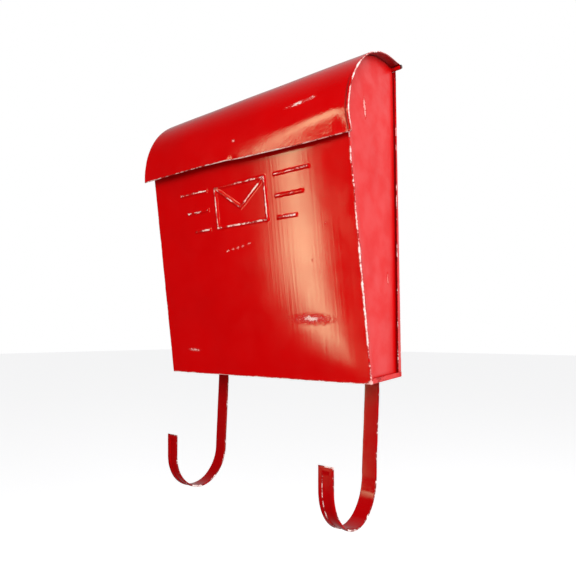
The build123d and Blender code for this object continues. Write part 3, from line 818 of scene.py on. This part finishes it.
z_top_b = 325.70
prof = []
for k in np.linspace(1, 0.25, 4)[:-1]:
    prof.append((-HALF, k, -HALF + T, k, 1))
for a in np.linspace(PI / 2, 0, 4):
    prof.append((-HALF + 0.8 - 0.8 * math.sin(a), -(0.8 - 0.8 * math.cos(a)), -HALF + 0.8, -0.8, 2))
for x in np.linspace(-136, 136, 69):
    prof.append((x, 0, x, -T, 0))
for a in np.linspace(0, PI / 2, 4):
    prof.append((HALF - 0.8 + 0.8 * math.sin(a), -(0.8 - 0.8 * math.cos(a)), HALF - 0.8, -0.8, 2))
for k in np.linspace(0.25, 1, 4)[1:]:
    prof.append((HALF, k, HALF - T, k, 1))
zs = np.concatenate([np.linspace(0, 1, 66)])
PO, PN = np.zeros((len(zs), len(prof), 3)), np.zeros((len(zs), len(prof), 3))
E = np.zeros((len(zs), len(prof)))
for i, u in enumerate(zs):
    for j, (xo, ko, xi, ki, kind) in enumerate(prof):
        for arr, x, k in ((PO, xo, ko), (PN, xi, ki)):
            if kind == 1:
                zlo, zhi = floor_z(-3, RIM_B) + 0.03, 320.0
            else:
                zlo, zhi = floor_z(-0.4, T) + 0.03, z_top_b
                if kind == 2:
                    zlo = floor_z(-1, RIM_B) + 0.03
            z = zlo + (zhi - zlo) * u
            if kind == 1:
                y = -k * float(rim_w(z))
                if k < 0.3:
                    y = min(y, -0.8)
            else:
                y = k
                if kind == 0:
                    y -= 0.22 * float(smooth(136 - abs(x), 0, 20)) * float(smooth(u, 0, 0.1)) * float(smooth(1 - u, 0, 0.1)) * (1 + float(waves(x, z, 71, 140.0, 2)))
            arr[i, j] = (x, y, z)
        E[i, j] = 0.72 if (kind == 1 and ko > 0.9) else (0.84 if kind == 2 else (0.6 if u < 0.001 or u > 0.999 else 0.0))
parts = []
verts, faces, ea, inn = shell(PO, PN, E)
parts.append((verts, faces, ea, inn))
# rolled knuckles of the back sheet
for sx in (-1, 1):
    kx = joined(np.linspace(k1 + KN_GAP / 2, k2 - KN_GAP / 2, 24), [k1 + KN_GAP / 2 + 0.15, k1 + KN_GAP / 2 + 0.35, k2 - KN_GAP / 2 - 0.15, k2 - KN_GAP / 2 - 0.35])
    kx = kx if sx > 0 else -kx[::-1]
    th = np.concatenate([[-1.0, -0.6, -0.3], np.linspace(0, math.radians(292), 30)])
    SO, KX = np.meshgrid(th, kx, indexing="ij")
    KO, KI = np.zeros(SO.shape + (3,)), np.zeros(SO.shape + (3,))
    for arr, r in ((KO, KN_R), (KI, KN_R - 0.82)):
        arr[..., 0] = KX
        straight = SO < 0
        arr[..., 1] = np.where(straight, PIN_Y + r, PIN_Y + r * np.cos(SO))
        arr[..., 2] = np.where(straight, PIN_Z + SO * 2.2, PIN_Z + r * np.sin(SO))
    v_, f_, e_, inn = shell(KO, KI, np.full(SO.shape, 0.45))
    parts.append((v_, f_, e_, 0))
back = mesh_object("back_skin", parts, [mat_back, mat_in_shaded])
# screw holes
for sx in (-1, 1):
    for sz in (-1, 1):
        hx, hz = sx * 100.0, sz * 110.0
        prof_h = [(-6, 2.75), (6, 2.75)]
        cv, cf = lathe(prof_h, 40, lambda s, a, b: (hx + a, s, Z0 + hz + b))
        cm = bpy.data.meshes.new("cut")
        cm.from_pydata([(x / 1000, y / 1000, (z - Z0) / 1000) for x, y, z in cv], [], cf)
        cm.materials.append(mat_back)
        co_ = link(bpy.data.objects.new("cut", cm))
        md = back.modifiers.new("hole", "BOOLEAN")
        md.operation = "DIFFERENCE"
        md.solver = "EXACT"
        md.object = co_
dg = bpy.context.evaluated_depsgraph_get()
cutm = bpy.data.meshes.new_from_object(back.evaluated_get(dg))
back.modifiers.clear()
old = back.data
back.data = cutm
bpy.data.meshes.remove(old)
cutm.name = "back_skin"
for o in [o for o in bpy.data.objects if o.name.startswith("cut")]:
    bpy.data.objects.remove(o)
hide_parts("back_panel")
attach(back, "box")

# ---------------------------------------------------------------- hinge pin
def pin_at(s, a, b):
    return (s, PIN_Y + a, PIN_Z + b)


e_ = LID_H
prof_p = [(-e_ - 1.4, 1.2), (-e_ - 1.36, 1.75), (-e_ - 1.15, 2.05), (-e_ - 0.75, 2.1), (-e_ - 0.4, 1.95), (-e_ - 0.36, 1.5)]
prof_p += [(x, 1.5) for x in np.linspace(-e_ + 0.5, e_ - 0.5, 41)]
prof_p += [(e_ + 0.36, 1.5), (e_ + 0.4, 1.95), (e_ + 0.75, 2.1), (e_ + 1.15, 2.05), (e_ + 1.36, 1.75), (e_ + 1.4, 1.2)]
pv, pf = lathe(prof_p, 28, pin_at)
pin = mesh_object("pin_wire", [(pv, pf, 0.0, 0)], [mat_pin])
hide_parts("hinge_pin")
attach(pin, "box")

# ---------------------------------------------------------------- hooks and rivets
HT = 1.0
HCY, HCZ, HR = -49.3, -97.5, 38.5
LEAN = math.radians(3.6)
TIP_Z, FOOT = -71.0, 27.0


def hook_path():
    """Mid-line points and their arc lengths, from the foot's free end to the tip."""
    pts = []
    end_y, end_z = HCY + HR * math.cos(-LEAN), HCZ + HR * math.sin(-LEAN)
    d_up = np.array([math.sin(LEAN), math.cos(LEAN)])
    # where the shank's mid-line meets the foot's mid-line
    p = np.array([end_y, end_z])
    s = 0.0
    for _ in range(30):
        q = p + d_up * s
        s += floor_z(q[0], -HT / 2) - q[1]
    top = p + d_up * s
    f_dir = np.array([math.cos(BEV), math.sin(BEV)])
    rb = 2.6
    turn = math.acos(float(np.dot(f_dir, -d_up)))
    back_off = rb * math.tan(turn / 2)
    a0 = top - f_dir * back_off
    free = top - f_dir * FOOT
    for t in np.linspace(0, 1, 16)[:-1]:
        pts.append(free + (a0 - free) * t)
    n_in = np.array([f_dir[1], -f_dir[0]])      # below the foot
    c = a0 + n_in * rb
    for t in np.linspace(0, turn, 10):
        v = -n_in * math.cos(t) + f_dir * math.sin(t)
        pts.append(c + v * rb)
    shank0 = pts[-1]
    for t in np.linspace(0, 1, 36)[1:-1]:
        pts.append(shank0 + (p - shank0) * t)
    for a in np.linspace(-LEAN, -PI, 72):
        pts.append(np.array([HCY + HR * math.cos(a), HCZ + HR * math.sin(a)]))
    z_arm = HCZ
    for z in np.concatenate([np.linspace(z_arm, TIP_Z - 5.2, 10)[1:], TIP_Z - np.array([4.9, 4.6, 4.3, 3.0, 2.0, 1.0, 0.7, 0.4, 0.16, 0.05, 0.0])]):
        pts.append(np.array([HCY - HR, z]))
    pts = np.array(pts)
    seg = np.linalg.norm(np.diff(pts, axis=0), axis=1)
    return pts, np.concatenate([[0], np.cumsum(seg)])


def make_hook(name, cx, seed, node, low, rz, tip, drift, hem_highlight):
    """low: where the mid-line bottoms out; rz: height of the bend; tip: z of the free end."""
    pts, s = hook_path()
    z = pts[:, 1].copy()
    zc = low + rz
    in_arc = z < HCZ
    arm = (~in_arc) & (pts[:, 0] < HCY)
    shank = (~in_arc) & (pts[:, 0] > HCY) & (s > FOOT + 4)
    pts[in_arc, 1] = zc + (z[in_arc] - HCZ) * rz / HR
    top = z[shank].max()
    pts[shank, 1] = top + (z[shank] - top) * (top - zc) / (top - HCZ)
    pts[arm, 1] = zc + (z[arm] - HCZ) * (tip - zc) / (TIP_Z - HCZ)
    s = np.concatenate([[0], np.cumsum(np.linalg.norm(np.diff(pts, axis=0), axis=1))])
    tan = np.gradient(pts, axis=0)
    tan /= np.linalg.norm(tan, axis=1)[:, None]
    n_in = np.stack([tan[:, 1], -tan[:, 0]], -1)
    hw = HOOK_W / 2
    bb = np.array([0, 0.05, 0.16, 0.35, 0.62, 1.0])
    xs = joined(-hw + bb, hw - bb, np.linspace(-hw + 1.6, hw - 1.6, 12), [-hw + 4.25, -hw + 4.45, -hw + 4.75, -hw + 5.0, hw - 5.0, hw - 4.75, hw - 4.45, hw - 4.25])
    S, X = np.meshgrid(s, xs, indexing="ij")
    total = s[-1]
    b = hw - np.abs(X)
    b_tip = total - S
    z_here = np.broadcast_to(pts[:, 1][:, None], S.shape)
    # hems begin just below the box
    on = smooth(S, FOOT + 6, FOOT + 12)
    hem = np.maximum((1 - smooth(b, 4.4, 4.9)) * on, (1 - smooth(b_tip, 4.5, 4.9)))
    hem = np.clip(hem + 0.06 * waves(S, X, seed, 24.0, 2) * (hem > 0.5), 0, 1.05)
    r_edge = np.where(on > 0.5, 1.0, 0.5)
    lo = -0.5 * HT                     # concave face
    hi = 0.5 * HT + HT * hem           # convex face
    fe = np.maximum(fold(b, r_edge), fold(b_tip, np.full_like(S, 1.0)))
    fe = np.minimum(fe, 0.5 * (hi - lo))
    OUT = hi - fe
    IN = lo + fe
    w = 0.35 * waves(S, S * 0, seed + 5, 90.0, 2) * smooth(S, FOOT + 5, FOOT + 40)     # slow wander along the strip
    tw = 0.30 * waves(S, S * 0, seed + 9, 120.0, 1) * smooth(S, FOOT + 5, FOOT + 40) * X / hw
    wx = 0.18 * waves(S, S * 0, seed + 2, 40.0, 2) * smooth(S, FOOT + 8, FOOT + 30) * (b < 2)
    P = np.zeros(S.shape + (3,))
    Q = np.zeros(S.shape + (3,))
    for arr, off in ((P, OUT), (Q, IN)):
        o = off + w + tw
        arr[..., 0] = cx + X - np.sign(X) * np.abs(wx) + drift * smooth(S, FOOT + 2, FOOT + 110)
        arr[..., 1] = pts[:, 0][:, None] - n_in[:, 0][:, None] * o
        arr[..., 2] = pts[:, 1][:, None] - n_in[:, 1][:, None] * o
    # the foot lies flat against the bottom
    arm_z = (S > total - 75)
    # painted highlight: the pale lines along the inner step of the hems on the arm and of the folded tip stand in for
    # highlights; the last argument of make_hook scales them per hook
    E = np.maximum.reduce([(0.74 + 0.08 * (X > 0)) * (1 - smooth(b, 0.5, 1.6)), 0.90 * (1 - smooth(b_tip, 0.8, 2.0)), (1.02 * bump(b - 4.6, 0.45) * (X < 0) + 0.7 * bump(b - 4.6, 0.4) * (X > 0)) * arm_z * hem_highlight,
                           0.98 * bump(b_tip - 4.6, 0.45) * (b > 4.2) * hem_highlight])
    verts, faces, ea, inn = shell(P, Q, E)
    ob = mesh_object(name, [(verts, faces, ea, 0)], [mat_hook_shaded])
    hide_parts(node)
    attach(ob, "box")
    return pts


make_hook("hook_left_strip", -HOOK_X, 81, "left_newspaper_hook", -133.6, 41.0, -69.2, 2.2, 0.62)
make_hook("hook_right_strip", HOOK_X, 97, "right_newspaper_hook", -136.8, 42.0, -72.6, -1.5, 1.0)


def make_rivets(name, cx, node, seed):
    lean = math.radians(3.6)
    end_y, end_z = HCY + (HR - 0.5) * math.cos(-LEAN), HCZ + (HR - 0.5) * math.sin(-LEAN)
    s = 0.0
    for _ in range(30):
        s += floor_z(end_y + s * math.sin(LEAN)) - (end_z + s * math.cos(LEAN))
    y_sh = end_y + s * math.sin(LEAN)
    parts = []
    rng = np.random.RandomState(seed)
    for dy in (10.0, 20.5):
        y = y_sh - dy
        zb = floor_z(y)
        dn, up_ = -1.0, T
        prof_r = [(dn - 1.50, 0.9), (dn - 1.42, 1.7), (dn - 1.18, 2.5), (dn - 0.80, 3.2), (dn - 0.30, 3.7), (dn - 0.02, 3.78), (dn + 0.0, 2.0),
                  (up_ + 0.0, 2.0), (up_ + 0.02, 3.78), (up_ + 0.30, 3.7), (up_ + 0.80, 3.2), (up_ + 1.18, 2.5), (up_ + 1.42, 1.7), (up_ + 1.50, 0.9)]
        ph = rng.uniform(0, 6.28)

        def at(h, a, b, y=y, zb=zb, ph=ph):
            k = 1 + 0.03 * math.cos(2 * math.atan2(b, a) + ph)
            a, b = a * k * 0.985, b * k * 0.985
            return (cx + a, y + b * math.cos(BEV) - h * math.sin(BEV), zb + b * math.sin(BEV) + h * math.cos(BEV))
        v_, f_ = lathe(prof_r, 30, at)
        parts.append((v_, f_, 0.62, 0))
    ob = mesh_object(name, parts, [mat_rivet])
    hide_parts(node)
    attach(ob, "box")


make_rivets("rivets_left", -HOOK_X, "left_hook_rivets", 3)
make_rivets("rivets_right", HOOK_X, "right_hook_rivets", 4)

# ---------------------------------------------------------------- stage
fm, nt = new_mat("floor")
g = Nodes(nt)
out = g.add("ShaderNodeOutputMaterial")
b = g.add("ShaderNodeBsdfPrincipled")
b.inputs["Base Color"].default_value = (0.88, 0.88, 0.89, 1)
b.inputs["Roughness"].default_value = 0.9
b.inputs["Specular IOR Level"].default_value = 0.0
b.inputs["Emission Color"].default_value = (1, 1, 1, 1)
b.inputs["Emission Strength"].default_value = 0.42
nt.links.new(b.outputs[0], out.inputs[0])
me = bpy.data.meshes.new("floor")
R = 14.0
me.from_pydata([(-R, -R, 0), (R, -R, 0), (R, R, 0), (-R, R, 0)], [], [(0, 1, 2, 3)])
me.materials.append(fm)
floor = link(bpy.data.objects.new("floor", me))
floor.location = (0, 0, -0.62)
floor.visible_glossy = False
floor.visible_diffuse = False

world = bpy.data.worlds.new("studio")
scene.world = world
world.use_nodes = True
nt = world.node_tree
nt.nodes.clear()
g = Nodes(nt)
wo = g.add("ShaderNodeOutputWorld")
lp = g.add("ShaderNodeLightPath")
tc = g.add("ShaderNodeTexCoord")
sep = g.add("ShaderNodeSeparateXYZ")
nt.links.new(tc.outputs["Generated"], sep.inputs[0])
grade = g.add("ShaderNodeMapRange")
g.put(grade.inputs["Value"], sep.outputs["Y"])
grade.inputs["From Min"].default_value = -0.30
grade.inputs["From Max"].default_value = 0.52
low_wall = g.math("MULTIPLY", g.math("POWER", grade.outputs["Result"], 1.7), 0.42)
wall = g.math("MULTIPLY", g.ramp(sep.outputs["Y"], 0.42, 0.72), g.ramp(sep.outputs["X"], -0.05, 0.45, 0.0, 0.92))
soft = g.math("ADD", g.math("ADD", low_wall, wall), 0.004)
bg_g = g.add("ShaderNodeBackground")
bg_g.inputs["Color"].default_value = (1.0, 0.985, 0.985, 1)
g.put(bg_g.inputs["Strength"], soft)
bg_d = g.add("ShaderNodeBackground")
bg_d.inputs["Color"].default_value = (1, 1, 1, 1)
bg_d.inputs["Strength"].default_value = 0.55
bg_c = g.add("ShaderNodeBackground")
bg_c.inputs["Color"].default_value = (1, 1, 1, 1)
bg_c.inputs["Strength"].default_value = 1.0
m1 = g.add("ShaderNodeMixShader")
nt.links.new(lp.outputs["Is Glossy Ray"], m1.inputs[0])
nt.links.new(bg_d.outputs[0], m1.inputs[1])
nt.links.new(bg_g.outputs[0], m1.inputs[2])
m2 = g.add("ShaderNodeMixShader")
nt.links.new(lp.outputs["Is Camera Ray"], m2.inputs[0])
nt.links.new(m1.outputs[0], m2.inputs[1])
nt.links.new(bg_c.outputs[0], m2.inputs[2])
nt.links.new(m2.outputs[0], wo.inputs[0])


def area(name, loc, target, size, power, color=(1, 1, 1), glossy=True, diffuse=True, shape="RECTANGLE", spread=180.0):
    d = bpy.data.lights.new(name, "AREA")
    d.shape = shape
    d.size, d.size_y = size
    d.energy = power
    d.color = color
    d.spread = math.radians(spread)
    o = link(bpy.data.objects.new(name, d))
    o.location = loc
    v = Vector(target) - Vector(loc)
    o.rotation_euler = v.to_track_quat("-Z", "Y").to_euler()
    o.visible_camera = False
    o.visible_glossy = glossy
    o.visible_diffuse = diffuse
    return o


# main light from the upper right in front, a softer one from the right side
area("key", (0.95, -1.28, 0.32), (0, -0.05, 0.03), (0.9, 0.8), 20.5, (1, 1, 1), glossy=False)
area("side", (1.5, -0.25, 0.25), (0.1, -0.05, 0), (0.9, 1.2), 16, (1, 0.99, 0.99), glossy=False)
# a warm window that the front mirrors, shaped like a tall pane with a cut corner
card_mid = Vector(mm(54.13, -81.87, 131.2))
r0 = Vector((-0.61540, -0.78443, -0.07712)).normalized()
e2 = (Vector((0, 0, 1)) - r0 * r0.z).normalized()
e1 = e2.cross(r0)
# rows of the pane: height, brightest place across, soft half-widths to the left and right, brightness
rows_b = np.array([-420, -355, -272, -191, -98, 18, 134, 215, 275, 345, 385, 440, 660], float)
rows_a = np.array([158, 148, 101, 74, 58, 66, 86, 97, 102, 110, 148, 178, 178], float)
rows_l = np.array([20, 26, 36, 38, 40, 48, 50, 52, 56, 66, 72, 76, 86], float)
rows_r = np.array([20, 24, 22, 38, 50, 50, 32, 10, 9, 40, 140, 175, 190], float)
rows_k = np.array([0.0, 0.36, 1.03, 1.03, 1.04, 1.15, 0.88, 1.06, 1.0, 0.95, 1.10, 1.02, 0.9], float)
ga = np.arange(-260, 520, 10.0)
gb = np.arange(-430, 670, 10.0)
GB, GA = np.meshgrid(gb, ga, indexing="ij")
mid_a = np.interp(GB, rows_b, rows_a)
half_w = np.where(GA < mid_a, np.interp(GB, rows_b, rows_l), np.interp(GB, rows_b, rows_r))
glow = np.exp(-0.693 * np.abs((GA - mid_a) / half_w) ** np.where(GA < mid_a, 1.8, 2.5)) * np.interp(GB, rows_b, rows_k)
glow *= smooth(GA, -260, -200) * (1 - smooth(GA, 440, 510)) * (1 - smooth(GB, 600, 660))
cv = [tuple(card_mid + r0 * 1.0 + e1 * float(x) * 0.001 + e2 * float(y) * 0.001) for x, y in zip(GA.ravel(), GB.ravel())]
nb, na = GA.shape
cfaces = [(i * na + j, i * na + j + 1, (i + 1) * na + j + 1, (i + 1) * na + j) for i in range(nb - 1) for j in range(na - 1)]
cmesh = bpy.data.meshes.new("window")
cmesh.from_pydata(cv, [], cfaces)
at_ = cmesh.attributes.new("glow", "FLOAT", "POINT")
at_.data.foreach_set("value", glow.ravel().astype(np.float32))
wm, nt = new_mat("window")
g = Nodes(nt)
out = g.add("ShaderNodeOutputMaterial")
em_ = g.add("ShaderNodeEmission")
em_.inputs["Color"].default_value = (0.76, 1.0, 0.57, 1)
gl = g.add("ShaderNodeAttribute", attribute_name="glow").outputs["Fac"]
g.put(em_.inputs["Strength"], g.math("MULTIPLY", gl, 10.5))
nt.links.new(em_.outputs[0], out.inputs[0])
cmesh.materials.append(wm)
window = link(bpy.data.objects.new("window", cmesh))
window.visible_camera = False
window.visible_diffuse = False
window.visible_shadow = False
window.visible_transmission = False

scene.view_settings.view_transform = "Standard"
scene.view_settings.look = "None"
scene.view_settings.exposure = 0.0
scene.view_settings.gamma = 1.0
